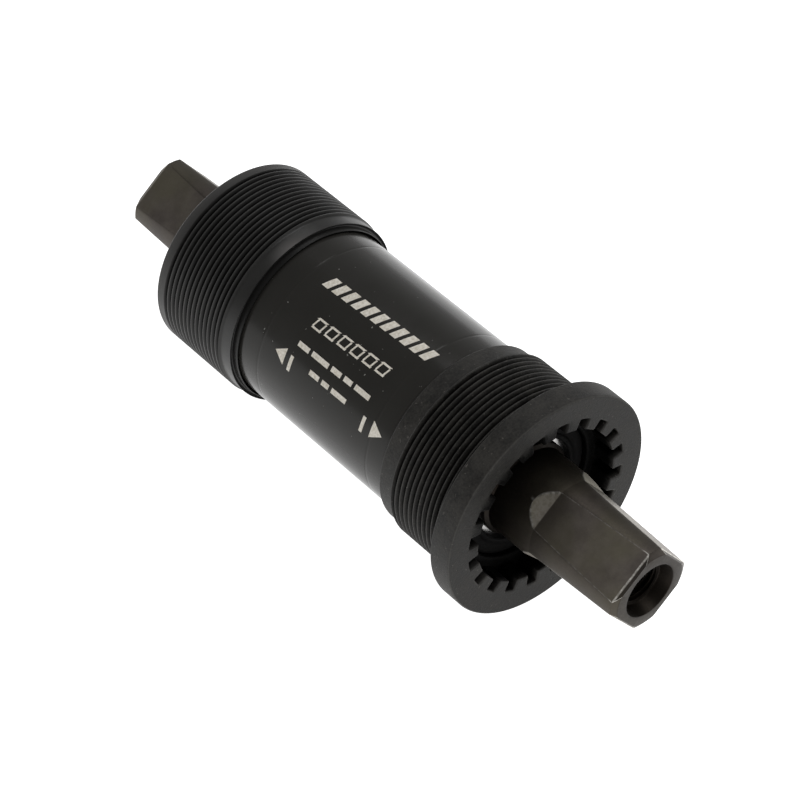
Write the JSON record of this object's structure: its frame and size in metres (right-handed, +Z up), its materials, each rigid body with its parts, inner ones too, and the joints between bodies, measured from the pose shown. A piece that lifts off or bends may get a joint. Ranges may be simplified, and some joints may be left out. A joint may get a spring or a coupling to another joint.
{
  "type": "bottom bracket",
  "caption": "Sealed cartridge bottom bracket: square-taper spindle on two ball bearings in a tube, a flanged threaded cup and a loose threaded cup.",
  "frame": {"origin": "on the spindle's axis, at the middle of the 68 mm frame shell that the bracket screws into", "axes": "+Y along the spindle towards the non-drive side, so the drive side is -Y; +Z up, +X forward on the bicycle"},
  "size_m": [0.0406, 0.119, 0.0406],
  "materials": {
    "spindle_steel": "oiled forged steel, dark bronze grey",
    "tube_black": "smooth gloss black coating",
    "drive_cup_steel": "blackened steel, fine sandy grain",
    "non_drive_cup_plastic": "moulded black plastic, satin",
    "bearing_steel": "ground bearing steel",
    "ball_steel": "polished",
    "cage_steel": "pressed steel sheet",
    "seal_rubber": "black rubber",
    "sleeve_steel": "drawn steel tube"
  },
  "bodies": {
    "cartridge": {"cartridge_tube": "tube_black", "drive_cup": "drive_cup_steel", "race_sleeve": "sleeve_steel", "drive_outer_race": "bearing_steel", "drive_seal_outboard": "seal_rubber", "drive_seal_inboard": "seal_rubber", "non_drive_outer_race": "bearing_steel", "non_drive_seal_outboard": "seal_rubber", "non_drive_seal_inboard": "seal_rubber"},
    "spindle": {"spindle": "spindle_steel", "drive_inner_race": "bearing_steel", "drive_dust_seal": "seal_rubber", "non_drive_inner_race": "bearing_steel", "non_drive_dust_seal": "seal_rubber"},
    "drive_ball_ring": {"drive_balls": "ball_steel", "drive_cage_outboard": "cage_steel", "drive_cage_inboard": "cage_steel", "drive_cage_rivets": "cage_steel"},
    "non_drive_ball_ring": {"non_drive_balls": "ball_steel", "non_drive_cage_outboard": "cage_steel", "non_drive_cage_inboard": "cage_steel", "non_drive_cage_rivets": "cage_steel"},
    "non_drive_cup": {"non_drive_cup": "non_drive_cup_plastic"}
  },
  "joints": [
    {"name": "spindle_spin", "type": "hinge", "parent": "cartridge", "child": "spindle", "pos_m": [0, 0, 0], "axis": [0, 1, 0], "continuous": true},
    {"name": "drive_ball_ring_spin", "type": "hinge", "parent": "cartridge", "child": "drive_ball_ring", "pos_m": [0, -0.0285, 0], "axis": [0, 1, 0], "continuous": true},
    {"name": "non_drive_ball_ring_spin", "type": "hinge", "parent": "cartridge", "child": "non_drive_ball_ring", "pos_m": [0, 0.0285, 0], "axis": [0, 1, 0], "continuous": true},
    {"name": "non_drive_cup_slide", "type": "slide", "parent": "cartridge", "child": "non_drive_cup", "axis": [0, 1, 0], "range_m": [0, 0.04]}
  ],
  "couplings": [
    {"joint": "drive_ball_ring_spin", "follows": "spindle_spin", "ratio": 0.41556},
    {"joint": "non_drive_ball_ring_spin", "follows": "spindle_spin", "ratio": 0.41556}
  ]
}
